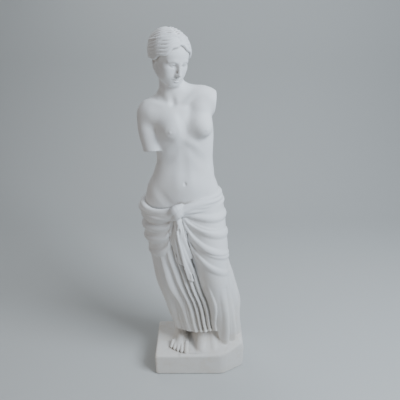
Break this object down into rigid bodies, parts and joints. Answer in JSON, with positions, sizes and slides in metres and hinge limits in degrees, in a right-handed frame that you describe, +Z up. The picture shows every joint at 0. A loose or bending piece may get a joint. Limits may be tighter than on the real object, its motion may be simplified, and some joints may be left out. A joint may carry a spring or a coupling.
{
  "type": "aphrodite statue",
  "caption": "Half-draped classical goddess in white plaster, standing on a low base with one cut corner, the right arm broken off above the elbow and the left at the shoulder.",
  "frame": {"origin": "middle of the base's flat underside", "axes": "+Z up through the figure, -Y out of the front of the base, +X towards the figure's left"},
  "size_m": [0.3631, 0.2135, 1.1907],
  "materials": {
    "plaster": "matte"
  },
  "bodies": {
    "root": {"statue": "plaster"}
  },
  "joints": []
}
